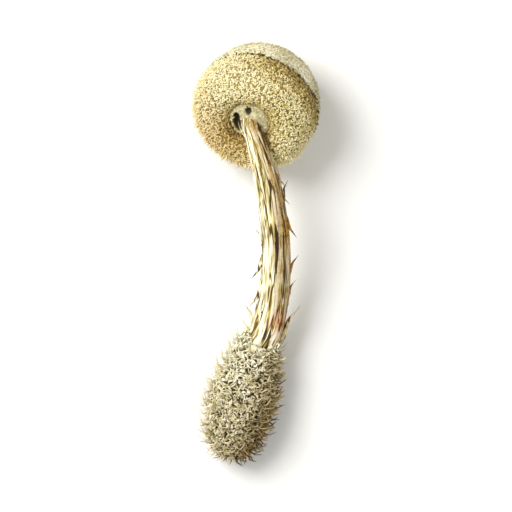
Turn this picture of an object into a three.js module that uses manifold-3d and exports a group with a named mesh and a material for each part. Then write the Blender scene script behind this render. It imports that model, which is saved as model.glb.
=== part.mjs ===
// Shaggy ink cap, picked and lying on a surface: a round woolly head whose underside faces up,
// a long scaly stem and a bristly foot. Millimetres, +Z up, the head toward +Y.
import * as THREE from "three";
import { mergeVertices } from "three/addons/utils/BufferGeometryUtils.js";
import Module from "manifold-3d";

const wasm = await Module();
wasm.setup();

const degrees = Math.PI / 180;
const gap = 0.3;
const coarseness = 0.03;

// The head lies with its crown down and away, so that its margin and the stem's root face up.
const head = {
  centre: new THREE.Vector3(0.1, 52.7, 22.3),
  tilt: 40 * degrees,
  turn: 27 * degrees,
  sides: 30,
  clearUpTo: 30,
};

// The pale dome: half an ellipsoid above the rim.
const crown = {
  radius: 22.3,
  height: 24,
  rimAt: 3.5,
  sides: 42,
  rings: 10,
  relief: 0.26,
  patch: 10.5,
};

// The inrolled margin, as radius and height along the head's axis, from rim to crease.
const margin = {
  outline: [
    [21.0, 3.2],
    [21.5, 1.6],
    [21.6, -1.0],
    [21.4, -4.0],
    [20.5, -7.2],
    [18.5, -9.9],
    [15.9, -11.7],
    [13.2, -12.2],
    [10.6, -11.6],
    [8.9, -10.3],
    [7.9, -8.4],
  ],
  socketRadius: 7.6,
  socketAt: -4.0,
};

// Tufts stand in rows; lift is the angle at the root, droop the angle at the tip, swing the way it
// points round the surface, sway its sideways bend and stray its shift along the row.
const wool = {
  seed: 4107,
  first: 1.51,
  rowStep: 2.75,
  spacing: 3.65,
  length: [3.4, 4.8],
  radius: [0.85, 1.15],
  lift: [46, 64],
  droop: [-22, 8],
  swing: [180 - 54, 180 + 54],
  sway: [-0.85, 0.85],
  stray: [-0.45, 0.45],
  sunk: 0.75,
};

// The collar that closes the margin round the stem, as radius and height along the head's axis.
const collar = {
  outline: [
    [7.2, -4.3],
    [7.25, -8.4],
    [6.7, -9.5],
    [5.2, -9.9],
    [3.9, -10.3],
    [3.1, -11.4],
  ],
  pitSlant: 0.5,
  pits: [
    { across: -3.8, up: -2.0, wide: 1.15, long: 2.6, deep: 2.4 },
    { across: -2.0, up: 4.4, wide: 1.0, long: 1.15, deep: 2.0 },
  ],
};

// The middle line of stem and foot, from the head down to the tip of the foot.
const middleLine = new THREE.CatmullRomCurve3(
  [
    [-1.9, 49.6, 27.7],
    [-2.4, 46.0, 30.5],
    [-0.9, 41.6, 31.8],
    [0.9, 36.0, 31.9],
    [3.6, 26.4, 30.6],
    [5.4, 16.5, 27.8],
    [6.8, 5.1, 24.2],
    [6.8, -3.4, 21.3],
    [6.5, -11.9, 18.3],
    [5.4, -20.4, 15.4],
    [3.3, -28.6, 13.0],
    [0.6, -33.9, 11.8],
    [-2.6, -43.1, 10.6],
    [-5.9, -54.5, 10.0],
    [-8.2, -65.0, 9.7],
    [-9.4, -73.2, 9.5],
  ].map((p) => new THREE.Vector3(...p)),
);
middleLine.arcLengthDivisions = 800;
const lineLength = middleLine.getLength();

// Radii along the middle line: distance from its start, then radius.
const stem = {
  radii: [
    [0, 3.4],
    [6, 2.9],
    [14, 3.5],
    [30, 4.5],
    [48, 4.75],
    [66, 4.9],
    [78, 5.4],
    [85, 6.1],
    [90, 6.5],
  ],
  end: 90,
  sides: 13,
  rings: 21,
  ridge: 0.24,
};

const scales = {
  seed: 923,
  count: 42,
  start: 15,
  finish: 86,
  turn: 137.5,
  length: [6.5, 10.5],
  radius: [1.15, 1.7],
  flat: 0.44,
  lift: [5, 11],
  droop: [12, 30],
  swing: [-14, 14],
  sway: [-0.7, 0.7],
  upShare: [0.25, 0.85],
  sunk: 0.3,
};

// Scales that break the outline: distance along the stem, side in degrees (0 is +X, 90 is up),
// length, half width, whether the tip points to the head, and how far the tip stands out.
const sideScales = [
  { at: 22, side: 8, length: 6, radius: 0.8, up: false, stand: 34 },
  { at: 29, side: 10, length: 5, radius: 0.8, up: false, stand: 30 },
  { at: 36, side: 6, length: 5.5, radius: 0.9, up: true, stand: 34 },
  { at: 41, side: 12, length: 6.5, radius: 0.9, up: false, stand: 30 },
  { at: 56, side: 5, length: 5.5, radius: 0.8, up: true, stand: 36 },
  { at: 68, side: 8, length: 5, radius: 0.8, up: true, stand: 34 },
  { at: 84, side: 12, length: 11, radius: 1.1, up: true, stand: 26 },
  { at: 50, side: 172, length: 6.5, radius: 0.9, up: true, stand: 28 },
  { at: 54, side: 168, length: 8, radius: 0.9, up: false, stand: 24 },
  { at: 64, side: 170, length: 11, radius: 1.0, up: false, stand: 18 },
  { at: 82, side: 165, length: 9, radius: 1.9, up: true, stand: 22 },
  { at: 85, side: 188, length: 6, radius: 0.9, up: true, stand: 44 },
];

const foot = {
  start: 87.4,
  radii: [
    [87.4, 7.2],
    [92, 7.7],
    [97, 8.5],
    [102, 9.5],
    [108, 10.4],
    [114, 10.2],
    [120, 9.2],
    [125, 7.4],
    [128.4, 4.8],
    [130, 0],
  ],
  sides: 16,
  rings: 12,
};

const bristles = {
  seed: 77,
  first: 0.7,
  rowStep: 3.0,
  spacing: 3.3,
  length: [4.4, 6.2],
  radius: [0.85, 1.15],
  lift: [62, 87],
  droop: [0, 55],
  swing: [0, 360],
  sway: [-1.1, 1.1],
  stray: [-0.45, 0.45],
  sunk: 0.9,
};

// The first rows of the foot lie up along the stem.
const skirt = {
  ...bristles,
  rows: 2,
  lift: [26, 34],
  droop: [8, 16],
  swing: [180 - 26, 180 + 26],
};

// The same numbers on every run, between 0 and 1.
function seeded(seed) {
  let state = seed;
  return () => {
    state = (state + 0x6d2b79f5) | 0;
    let mixed = Math.imul(state ^ (state >>> 15), 1 | state);
    mixed = (mixed + Math.imul(mixed ^ (mixed >>> 7), 61 | mixed)) ^ mixed;
    return ((mixed ^ (mixed >>> 14)) >>> 0) / 4294967296;
  };
}

function between(random, range) {
  return range[0] + (range[1] - range[0]) * random();
}

function toSolid(geometry) {
  const bare = geometry.clone();
  bare.deleteAttribute("normal");
  bare.deleteAttribute("uv");
  const merged = mergeVertices(bare, 1e-4);
  return new wasm.Manifold(
    new wasm.Mesh({
      numProp: 3,
      vertProperties: new Float32Array(merged.attributes.position.array),
      triVerts: new Uint32Array(merged.index.array),
    }),
  );
}

// The largest body of a solid: sealed hollows are filled and loose scraps dropped.
function largestBody(solid) {
  return solid
    .decompose()
    .reduce((best, body) => (body.volume() > best.volume() ? body : best));
}

function fused(pieces) {
  return wasm.Manifold.union(pieces);
}

function toMesh(name, solid, colour, roughness) {
  const data = solid.getMesh();
  const geometry = new THREE.BufferGeometry();
  geometry.setAttribute(
    "position",
    new THREE.BufferAttribute(data.vertProperties, data.numProp),
  );
  geometry.setIndex(new THREE.BufferAttribute(data.triVerts, 1));
  geometry.computeVertexNormals();
  const material = new THREE.MeshStandardMaterial({
    color: colour,
    roughness,
    metalness: 0,
  });
  const mesh = new THREE.Mesh(geometry, material);
  mesh.name = name;
  return mesh;
}

// A value between the listed stations, by straight lines.
function along(table, station) {
  const next = table.findIndex((row) => row[0] >= station);
  if (next === 0) return table[0][1];
  if (next < 0) return table[table.length - 1][1];
  const [s0, r0] = table[next - 1];
  const [s1, r1] = table[next];
  return r0 + ((r1 - r0) * (station - s0)) / (s1 - s0);
}

// The head's own directions: toward the crown, across it level, and up the slope of its underside.
const toCrown = new THREE.Vector3(
  Math.sin(head.turn) * Math.sin(head.tilt),
  Math.cos(head.turn) * Math.sin(head.tilt),
  -Math.cos(head.tilt),
);
const across = new THREE.Vector3(Math.cos(head.turn), -Math.sin(head.turn), 0);
const upSlope = new THREE.Vector3().crossVectors(across, toCrown);
const headFrame = new THREE.Matrix4()
  .makeBasis(across, toCrown, upSlope)
  .setPosition(head.centre);

function headPoint(radius, height, angle) {
  return head.centre
    .clone()
    .addScaledVector(toCrown, height)
    .addScaledVector(across, radius * Math.cos(angle))
    .addScaledVector(upSlope, radius * Math.sin(angle));
}

function turned(outline, sides) {
  const points = outline.map(([radius, height]) => new THREE.Vector2(radius, height));
  return new THREE.LatheGeometry(points, sides);
}

function closedOutline(outline) {
  return [[0, outline[0][1]], ...outline, [0, outline[outline.length - 1][1]]];
}

// The middle line's point and directions at a distance from its start.
function lineFrame(station) {
  const share = Math.min(Math.max(station / lineLength, 0), 1);
  const point = middleLine.getPointAt(share);
  const forward = middleLine.getTangentAt(share);
  const right = new THREE.Vector3(0, 0, 1).cross(forward).normalize();
  const lift = new THREE.Vector3().crossVectors(forward, right);
  return { point, forward, right, lift };
}

function linePoint(station, angle, radius) {
  const { point, right, lift } = lineFrame(station);
  return point
    .addScaledVector(right, radius * Math.cos(angle))
    .addScaledVector(lift, radius * Math.sin(angle));
}

// A turned body whose height runs along the middle line.
function onLine(outline, sides, ridge) {
  const shape = turned(outline, sides);
  const at = shape.attributes.position;
  for (let i = 0; i < at.count; i++) {
    const station = at.getY(i);
    const angle = Math.atan2(-at.getZ(i), at.getX(i));
    const radius = Math.hypot(at.getX(i), at.getZ(i));
    const wave = Math.cos(3 * angle + station * 0.11) + 0.7 * Math.cos(5 * angle - station * 0.2);
    const swell = radius > 0 ? ridge * wave : 0;
    const p = linePoint(station, angle, radius + swell);
    at.setXYZ(i, p.x, p.y, p.z);
  }
  return shape;
}

// A point on a surface with its directions: outward, and the way of growing distance.
function surfaceFrame(surface, station, angle) {
  const step = 0.05;
  const point = surface(station, angle);
  const ahead = surface(station + step, angle).sub(surface(station - step, angle)).normalize();
  const around = surface(station, angle + step).sub(surface(station, angle - step)).normalize();
  const outward = new THREE.Vector3().crossVectors(around, ahead).normalize();
  return { point, ahead, around, outward };
}

// Lays an upright shape along an arc that leaves the surface at one angle and ends at another.
function bent(shape, length, leave, arrive, sway) {
  const turn = arrive - leave || 1e-3;
  const at = shape.attributes.position;
  for (let i = 0; i < at.count; i++) {
    const share = at.getY(i) / length + 0.5;
    const lean = leave + turn * share;
    const forward = (length * (Math.sin(lean) - Math.sin(leave))) / turn;
    const rise = (length * (Math.cos(leave) - Math.cos(lean))) / turn;
    const off = at.getZ(i);
    at.setXYZ(
      i,
      at.getX(i) + sway * share * share,
      forward - off * Math.sin(lean),
      rise + off * Math.cos(lean),
    );
  }
  return shape;
}

// Sets a shape on a surface, sunk a little, its tip toward the given heading round the outward way.
function planted(shape, frame, heading, sunk) {
  const tipWay = frame.ahead
    .clone()
    .applyAxisAngle(frame.outward, heading)
    .normalize();
  const side = new THREE.Vector3().crossVectors(tipWay, frame.outward).normalize();
  const outward = new THREE.Vector3().crossVectors(side, tipWay);
  const root = frame.point.clone().addScaledVector(frame.outward, -sunk);
  return toSolid(
    shape.applyMatrix4(new THREE.Matrix4().makeBasis(side, tipWay, outward).setPosition(root)),
  );
}

// A three-sided tuft, curled where it has more than one joint.
function tuft(length, radius, joints, leave, arrive, sway) {
  return bent(new THREE.ConeGeometry(radius, length, 3, joints), length, leave, arrive, sway);
}

// A lance-shaped scale with a diamond section.
function lance(length, radius, flat, leave, arrive, sway) {
  const shape = new THREE.ConeGeometry(radius, length, 4, 2);
  const at = shape.attributes.position;
  for (let i = 0; i < at.count; i++) {
    const share = at.getY(i) / length + 0.5;
    const widen = 0.6 + 1.15 * share;
    at.setXYZ(i, at.getX(i) * widen, at.getY(i), at.getZ(i) * flat * widen);
  }
  return bent(shape, length, leave, arrive, sway);
}

// One row of tufts round a surface; every second row is set half a space on.
function tuftRow(surface, station, radius, row, settings, random) {
  const count = Math.max(Math.round((2 * Math.PI * radius) / settings.spacing), 4);
  const pieces = [];
  for (let i = 0; i < count; i++) {
    const place = i + 0.5 * (row % 2) + 0.5 * (random() - 0.5);
    const away = station + between(random, settings.stray);
    const frame = surfaceFrame(surface, away, (place * 2 * Math.PI) / count);
    const shape = tuft(
      between(random, settings.length),
      between(random, settings.radius),
      1 + ((row + i) % 2),
      between(random, settings.lift) * degrees,
      between(random, settings.droop) * degrees,
      between(random, settings.sway),
    );
    const heading = between(random, settings.swing) * degrees;
    pieces.push(planted(shape, frame, heading, settings.sunk));
  }
  return pieces;
}

const marginCurve = new THREE.SplineCurve(
  margin.outline.map(([radius, height]) => new THREE.Vector2(radius, height)),
);
const marginLength = marginCurve.getLength();

function marginSurface(station, angle) {
  const share = Math.min(Math.max(station / marginLength, 0), 1);
  const p = marginCurve.getPointAt(share);
  return headPoint(p.x, p.y, angle);
}

function crownGeometry(grow) {
  const top = Math.asin(crown.rimAt / crown.height);
  const outline = [
    [0, crown.rimAt - grow],
    [crown.radius - 0.9 + grow, crown.rimAt - grow],
  ];
  for (let i = 0; i <= crown.rings; i++) {
    const angle = top + 0.03 + ((Math.PI / 2 - top - 0.03) * i) / crown.rings;
    const last = i === crown.rings;
    outline.push([
      last ? 0 : (crown.radius + grow) * Math.cos(angle),
      (crown.height + grow) * Math.sin(angle),
    ]);
  }
  return turned(outline, crown.sides);
}

// Low swells on the dome, like felted patches.
function crownShape() {
  const shape = crownGeometry(0);
  const at = shape.attributes.position;
  for (let i = 0; i < at.count; i++) {
    const x = at.getX(i);
    const y = at.getY(i);
    const z = at.getZ(i);
    const radius = Math.hypot(x, z);
    if (y <= crown.rimAt || radius < 0.01) continue;
    const wave = (2 * Math.PI) / crown.patch;
    const patch =
      Math.sin(wave * (x + 0.4 * y)) * Math.sin(wave * (z - 0.3 * x + 0.5 * y)) +
      0.5 * Math.sin(1.7 * wave * (z + 0.6 * x)) * Math.sin(1.6 * wave * (y - 0.5 * x));
    const share = 1 + (crown.relief * (patch - 1.2)) / Math.hypot(x, y, z);
    at.setXYZ(i, x * share, y * share, z * share);
  }
  return shape.applyMatrix4(headFrame);
}

// Everything below the surface that the mushroom lies on.
function underFloor() {
  const block = new THREE.BoxGeometry(300, 400, 60);
  return toSolid(block.translate(0, 0, -30));
}

function stemOutline(from, to, rings, table, grow) {
  const outline = [[0, from]];
  for (let i = 0; i <= rings; i++) {
    const station = from + ((to - from) * i) / rings;
    outline.push([along(table, station) + grow, station]);
  }
  outline.push([0, to]);
  return outline;
}

function buildCrown() {
  return toSolid(crownShape()).subtract(underFloor());
}

function buildWool() {
  const outline = [
    [0, margin.outline[0][1]],
    ...margin.outline,
    [margin.socketRadius, margin.socketAt],
    [0, margin.socketAt],
  ].reverse();
  const pieces = [toSolid(turned(outline, head.sides).applyMatrix4(headFrame))];
  const random = seeded(wool.seed);
  for (let row = 0; wool.first + row * wool.rowStep < marginLength - 1; row++) {
    const station = wool.first + row * wool.rowStep;
    const radius = marginCurve.getPointAt(station / marginLength).x;
    pieces.push(...tuftRow(marginSurface, station, radius, row, wool, random));
  }
  const clearCrown = toSolid(crownGeometry(gap + 0.25).applyMatrix4(headFrame));
  const clearCollar = toSolid(
    turned(
      [
        [0, -14.5],
        [margin.socketRadius + 0.5, -14.5],
        [margin.socketRadius, -9.4],
        [margin.socketRadius, margin.socketAt],
        [0, margin.socketAt],
      ],
      head.sides,
    ).applyMatrix4(headFrame),
  );
  const clearStem = toSolid(
    onLine(
      stemOutline(0, head.clearUpTo, 10, stem.radii, gap + 2 * stem.ridge + 0.4),
      stem.sides,
      0,
    ),
  );
  return fused(pieces).subtract(clearCrown).subtract(clearCollar).subtract(clearStem);
}

function stemSurface(station, angle) {
  return linePoint(station, angle, along(stem.radii, station));
}

function pitSolid(pit) {
  const at = headPoint(0, collar.outline[2][1] - 0.4, 0)
    .addScaledVector(across, pit.across)
    .addScaledVector(upSlope, pit.up);
  const long = upSlope.clone().applyAxisAngle(toCrown, collar.pitSlant);
  const wide = new THREE.Vector3().crossVectors(long, toCrown);
  const shape = new THREE.SphereGeometry(1, 9, 7);
  shape.scale(pit.wide, pit.long, pit.deep);
  return toSolid(shape.applyMatrix4(new THREE.Matrix4().makeBasis(wide, long, toCrown).setPosition(at)));
}

function buildStem() {
  const outline = stemOutline(0, stem.end, stem.rings, stem.radii, 0);
  const pieces = [toSolid(onLine(outline, stem.sides, stem.ridge))];
  const random = seeded(scales.seed);
  for (let i = 0; i < scales.count; i++) {
    const share = (i + 0.5) / scales.count;
    const station = scales.start + (scales.finish - scales.start) * share;
    const frame = surfaceFrame(stemSurface, station, i * scales.turn * degrees);
    const [few, most] = scales.upShare;
    const towardHead = random() < few + (most - few) * share;
    const heading = (towardHead ? 180 : 0) + between(random, scales.swing);
    const shape = lance(
      between(random, scales.length),
      between(random, scales.radius),
      scales.flat,
      between(random, scales.lift) * degrees,
      between(random, scales.droop) * degrees,
      between(random, scales.sway),
    );
    pieces.push(planted(shape, frame, heading * degrees, scales.sunk));
  }
  for (const scale of sideScales) {
    const frame = surfaceFrame(stemSurface, scale.at, scale.side * degrees);
    const shape = lance(
      scale.length,
      scale.radius,
      scales.flat,
      scales.lift[0] * degrees,
      scale.stand * degrees,
      0.5 * between(random, scales.sway),
    );
    pieces.push(planted(shape, frame, scale.up ? Math.PI : 0, scales.sunk));
  }
  pieces.push(toSolid(turned(closedOutline(collar.outline).reverse(), 36).applyMatrix4(headFrame)));
  return collar.pits.reduce((solid, pit) => solid.subtract(pitSolid(pit)), fused(pieces));
}

function footSurface(station, angle) {
  return linePoint(station, angle, Math.max(along(foot.radii, station), 0.05));
}

function buildFoot() {
  const end = foot.radii[foot.radii.length - 1][0];
  const outline = [[0, foot.start]];
  for (let i = 0; i < foot.rings; i++) {
    const station = foot.start + ((end - foot.start) * i) / foot.rings;
    outline.push([along(foot.radii, station), station]);
  }
  outline.push([0, end]);
  const pieces = [toSolid(onLine(outline, foot.sides, 0.12))];
  const random = seeded(bristles.seed);
  for (let row = 0; foot.start + bristles.first + row * bristles.rowStep < end - 1; row++) {
    const station = foot.start + bristles.first + row * bristles.rowStep;
    const settings = row < skirt.rows ? skirt : bristles;
    const radius = along(foot.radii, station);
    pieces.push(...tuftRow(footSurface, station, radius, row, settings, random));
  }
  const clearStem = toSolid(
    onLine(
      stemOutline(foot.start - 14, stem.end + gap, 8, stem.radii, gap + 2 * stem.ridge),
      stem.sides,
      stem.ridge,
    ),
  );
  return fused(pieces).subtract(clearStem).subtract(underFloor());
}

const solids = [buildCrown(), buildWool(), buildStem(), buildFoot()].map((solid) =>
  largestBody(solid.simplify(coarseness)),
);

const mushroom = new THREE.Group();
mushroom.add(toMesh("cap_crown", solids[0], 0xf0eed8, 0.8));
mushroom.add(toMesh("cap_wool", solids[1], 0xd9be7c, 0.9));
mushroom.add(toMesh("stem", solids[2], 0xf5efc8, 0.75));
mushroom.add(toMesh("woolly_foot", solids[3], 0xa59c6e, 0.9));

// The origin is on the surface, under the middle of the whole outline.
const outline = new THREE.Box3().setFromObject(mushroom);
const middle = outline.getCenter(new THREE.Vector3());
for (const mesh of mushroom.children) mesh.position.set(-middle.x, -middle.y, 0);

export default mushroom;
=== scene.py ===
import math
import bpy
import numpy as np
from mathutils import Matrix, Vector, noise


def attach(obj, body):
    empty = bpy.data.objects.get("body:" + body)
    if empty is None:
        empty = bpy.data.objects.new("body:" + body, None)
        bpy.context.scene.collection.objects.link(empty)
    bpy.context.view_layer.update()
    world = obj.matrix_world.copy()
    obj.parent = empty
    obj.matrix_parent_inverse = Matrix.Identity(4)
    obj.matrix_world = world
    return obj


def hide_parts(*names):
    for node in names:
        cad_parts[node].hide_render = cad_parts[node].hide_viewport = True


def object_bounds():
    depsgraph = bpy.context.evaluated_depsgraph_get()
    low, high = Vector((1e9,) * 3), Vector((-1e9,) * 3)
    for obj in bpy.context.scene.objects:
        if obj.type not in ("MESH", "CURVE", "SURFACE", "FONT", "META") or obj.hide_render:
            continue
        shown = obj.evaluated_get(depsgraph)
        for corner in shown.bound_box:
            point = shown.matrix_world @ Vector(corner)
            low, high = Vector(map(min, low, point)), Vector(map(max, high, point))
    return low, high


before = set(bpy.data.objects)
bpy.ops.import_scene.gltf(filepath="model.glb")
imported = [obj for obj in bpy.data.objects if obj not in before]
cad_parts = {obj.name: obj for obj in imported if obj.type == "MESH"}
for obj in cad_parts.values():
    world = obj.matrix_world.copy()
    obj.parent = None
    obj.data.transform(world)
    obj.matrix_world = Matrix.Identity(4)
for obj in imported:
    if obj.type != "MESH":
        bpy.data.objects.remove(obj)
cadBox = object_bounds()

mm = 0.001
centred = Vector((0.23, -0.645, 0))  # the solids are centred on their outline by this much, in mm
goldenTurn = math.radians(137.508)
tiny = 1e-9
upward = np.array((0.0, 0.0, 1.0))


def deselectAll():
    if bpy.context.object and bpy.context.object.mode != "OBJECT":
        bpy.ops.object.mode_set(mode="OBJECT")
    bpy.ops.object.select_all(action="DESELECT")


def toLinear(hexColour):
    shares = [int(hexColour[i:i + 2], 16) / 255 for i in (1, 3, 5)]
    return [s / 12.92 if s <= 0.04045 else ((s + 0.055) / 1.055) ** 2.4 for s in shares] + [1]


def addNode(tree, kind, settings=None, links=None):
    node = tree.nodes.new("ShaderNode" + kind)
    for name, value in (settings or {}).items():
        if name == "stops":
            ramp = node.color_ramp
            ramp.elements[0].position, ramp.elements[0].color = value[0][0], toLinear(value[0][1])
            ramp.elements[1].position, ramp.elements[1].color = value[-1][0], toLinear(value[-1][1])
            for place, colour in value[1:-1]:
                ramp.elements.new(place).color = toLinear(colour)
        elif isinstance(name, int) or name in node.inputs:
            node.inputs[name].default_value = value
        else:
            setattr(node, name, value)
    for name, socket in (links or {}).items():
        tree.links.new(socket, node.inputs[name])
    return node


finePerGap = 40  # steps between two points of a smooth line, before they are spread evenly


# the way a smooth line runs through points, in even steps of its length
def smoothLine(points, count):
    pts = np.array(points, dtype=float)
    pts = np.vstack([2 * pts[0] - pts[1], pts, 2 * pts[-1] - pts[-2]])
    fine = []
    for p0, p1, p2, p3 in zip(pts, pts[1:], pts[2:], pts[3:]):
        a, b, c = (np.linalg.norm(q - p) ** 0.5 for p, q in ((p0, p1), (p1, p2), (p2, p3)))
        leave = ((p1 - p0) / a - (p2 - p0) / (a + b) + (p2 - p1) / b) * b
        arrive = ((p2 - p1) / b - (p3 - p1) / (b + c) + (p3 - p2) / c) * b
        for t in np.linspace(0, 1, finePerGap, endpoint=False):
            fine.append(p1 + leave * t + (3 * (p2 - p1) - 2 * leave - arrive) * t ** 2
                        + (2 * (p1 - p2) + leave + arrive) * t ** 3)
    fine = np.array(fine + [pts[-2]])
    reach = np.concatenate([[0], np.cumsum(np.linalg.norm(np.diff(fine, axis=0), axis=1))])
    even = np.linspace(0, reach[-1], count)
    return even, np.stack([np.interp(even, reach, axis) for axis in fine.T], axis=1)


def unit(v):
    return v / np.maximum(np.linalg.norm(v, axis=-1, keepdims=True), tiny)


# where the mushroom lies: the head's axis, and the stem's middle line from the collar to the foot's tip
head = {"centre": (0.1, 52.7, 22.3), "tilt": 40, "turn": 27}
middleLine = [
    (-1.9, 49.6, 27.7), (-2.4, 46.0, 30.5), (-0.9, 41.6, 31.8), (0.9, 36.0, 31.9), (3.6, 26.4, 30.6),
    (5.4, 16.5, 27.8), (6.8, 5.1, 24.2), (6.8, -3.4, 21.3), (6.5, -11.9, 18.3), (5.4, -20.4, 15.4),
    (3.3, -28.6, 13.0), (0.6, -33.9, 11.8), (-2.6, -43.1, 10.6), (-5.9, -54.5, 10.0),
    (-8.2, -65.0, 9.7), (-9.4, -73.2, 9.5),
]
lineSteps = 521
tilt, turn = math.radians(head["tilt"]), math.radians(head["turn"])
toCrown = Vector((math.sin(turn) * math.sin(tilt), math.cos(turn) * math.sin(tilt), -math.cos(tilt)))
across = Vector((math.cos(turn), -math.sin(turn), 0))
downSlope = toCrown.cross(across)
headCentre = (Vector(head["centre"]) + centred) * mm
headPlace = Matrix.Translation(headCentre) @ Matrix((across, downSlope, toCrown)).transposed().to_4x4()

lineReach, linePoints = smoothLine(np.array(middleLine) + np.array(centred), lineSteps)
lineForward = unit(np.gradient(linePoints, axis=0))
lineRight = unit(np.cross((0, 0, 1), lineForward))
lineLift = np.cross(lineForward, lineRight)


# takes points modelled upright round Z, in mm, to the head's place
def layOnHead(points):
    basis = np.array(headPlace.to_3x3())
    return points @ basis.T + np.array(headCentre) / mm


# takes points modelled upright round Z, in mm, along the stem's middle line: Z is the way from the collar
def layOnLine(points):
    at = np.clip(points[:, 2], 0, lineReach[-1])
    centre, forward, right, lift = (
        np.stack([np.interp(at, lineReach, axis) for axis in row.T], axis=1)
        for row in (linePoints, lineForward, lineRight, lineLift))
    past = points[:, 2] - at
    return centre + right * points[:, :1] + lift * points[:, 1:2] + forward * past[:, None]


# what lies under the floor is pressed flat on it
def restOnFloor(points):
    points[:, 2] = np.maximum(points[:, 2], 0)
    return points


def finishPiece(piece, node, material):
    deselectAll()
    bpy.context.view_layer.objects.active = piece
    piece.select_set(True)
    bpy.ops.object.shade_smooth()
    piece.data.materials.append(material)
    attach(piece, "root")
    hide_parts(node)
    print("made", piece.name, len(piece.data.polygons), "faces")


def pointsOf(body):
    return np.array([v.co for v in body.data.vertices]) / mm


def setPoints(body, points):
    body.data.vertices.foreach_set("co", (restOnFloor(points) * mm).ravel())


def setShares(mesh, name, shares):
    layer = mesh.attributes.new(name, "FLOAT", "POINT")
    layer.data.foreach_set("value", np.asarray(shares, dtype=np.float32))


# where each point stood before the stem was bent, in mm, so that a pattern can run along the fibres
def setUpright(mesh, points):
    layer = mesh.attributes.new("upright", "FLOAT_VECTOR", "POINT")
    layer.data.foreach_set("vector", np.asarray(points, dtype=np.float32).ravel())


# a closed body turned round Z: a filled circle, extruded ring by ring to each radius and height, in mm
def turnedBody(name, outline, sides):
    deselectAll()
    outline = [(float(radius) * mm, float(height) * mm) for radius, height in outline]
    radius, height = outline[0]
    bpy.ops.mesh.primitive_circle_add(vertices=sides, radius=radius, fill_type="NGON",
                                      location=(0, 0, height))
    body = bpy.context.object
    body.name = name
    bpy.ops.object.mode_set(mode="EDIT")
    bpy.ops.mesh.select_all(action="SELECT")
    for nextRadius, nextHeight in outline[1:]:
        bpy.ops.mesh.extrude_region_move(TRANSFORM_OT_translate={"value": (0, 0, nextHeight - height)})
        grow = nextRadius / radius
        bpy.ops.transform.resize(value=(grow, grow, 1), center_override=(0, 0, nextHeight))
        radius, height = nextRadius, nextHeight
    bpy.ops.mesh.select_all(action="SELECT")
    bpy.ops.mesh.normals_make_consistent(inside=False)
    bpy.ops.object.mode_set(mode="OBJECT")
    bpy.ops.object.transform_apply(location=True, rotation=True, scale=True)
    return body


swingTurn = 2.1  # radians that the sideways swing turns from one ring of a tuft to the next


# one tuft, one long, growing up from the origin: each step turns it, thins it and swings it aside
def modelTuft(name, look):
    deselectAll()
    radii, turns = look["radii"], look["turns"]
    step = 1 / (len(turns) + 1)
    bpy.ops.mesh.primitive_circle_add(vertices=look["sides"], radius=radii[0], fill_type="NGON")
    tuft = bpy.context.object
    tuft.name = name
    bpy.ops.object.mode_set(mode="EDIT")
    bpy.ops.mesh.select_all(action="SELECT")
    bpy.ops.transform.resize(value=look.get("section", (1, 1, 1)), center_override=(0, 0, 0))
    centre, lean, rings = Vector((0, 0, 0)), 0, [Vector((0, 0, 0))]
    for i, turnBy in enumerate(turns):
        lean += math.radians(turnBy)
        move = Vector((math.sin(lean), look["swing"] * math.sin(i * swingTurn), math.cos(lean))) * step
        bpy.ops.mesh.extrude_region_move(TRANSFORM_OT_translate={"value": move})
        centre = centre + move
        rings.append(centre)
        bpy.ops.transform.rotate(value=-math.radians(turnBy), orient_axis="Y", center_override=centre)
        thin = radii[i + 1] / radii[i]
        bpy.ops.transform.resize(value=(thin, thin, thin), center_override=centre)
    move = Vector((math.sin(lean), 0, math.cos(lean))) * step
    bpy.ops.mesh.extrude_region_move(TRANSFORM_OT_translate={"value": move})
    bpy.ops.mesh.merge(type="CENTER")
    rings.append(centre + move)
    bpy.ops.mesh.select_all(action="SELECT")
    bpy.ops.mesh.quads_convert_to_tris()
    bpy.ops.mesh.normals_make_consistent(inside=False)
    bpy.ops.object.mode_set(mode="OBJECT")
    points = np.array([v.co for v in tuft.data.vertices])
    faces = np.array([p.vertices[:] for p in tuft.data.polygons])
    gaps = np.linalg.norm(points[:, None] - np.array(rings)[None], axis=2)
    shares = gaps.argmin(axis=1) / (len(rings) - 1)
    bpy.data.objects.remove(tuft, do_unlink=True)
    return {"points": points, "faces": faces, "shares": shares}


# a tuft that would reach out of the solids' box by more than these shares of its sides is made shorter
boxSlack = {"low": (0.01, 0.017, 0.01), "high": (0.01, 0.01, 0.01), "shortest": 0.3}


def keepInBox(points, root):
    sides = np.array(cadBox[1] - cadBox[0])
    lowest = (np.array(cadBox[0]) - sides * boxSlack["low"]) / mm
    highest = (np.array(cadBox[1]) + sides * boxSlack["high"]) / mm
    reach = points - root
    room = np.where(reach > 0, highest - root, root - lowest)
    room[..., 2] = np.where(reach[..., 2] > 0, room[..., 2], np.inf)  # the floor stops what grows down
    shrink = np.clip(room / np.maximum(np.abs(reach), tiny), boxSlack["shortest"], 1).min(axis=(1, 2))
    return root + reach * shrink[:, None, None]


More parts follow.
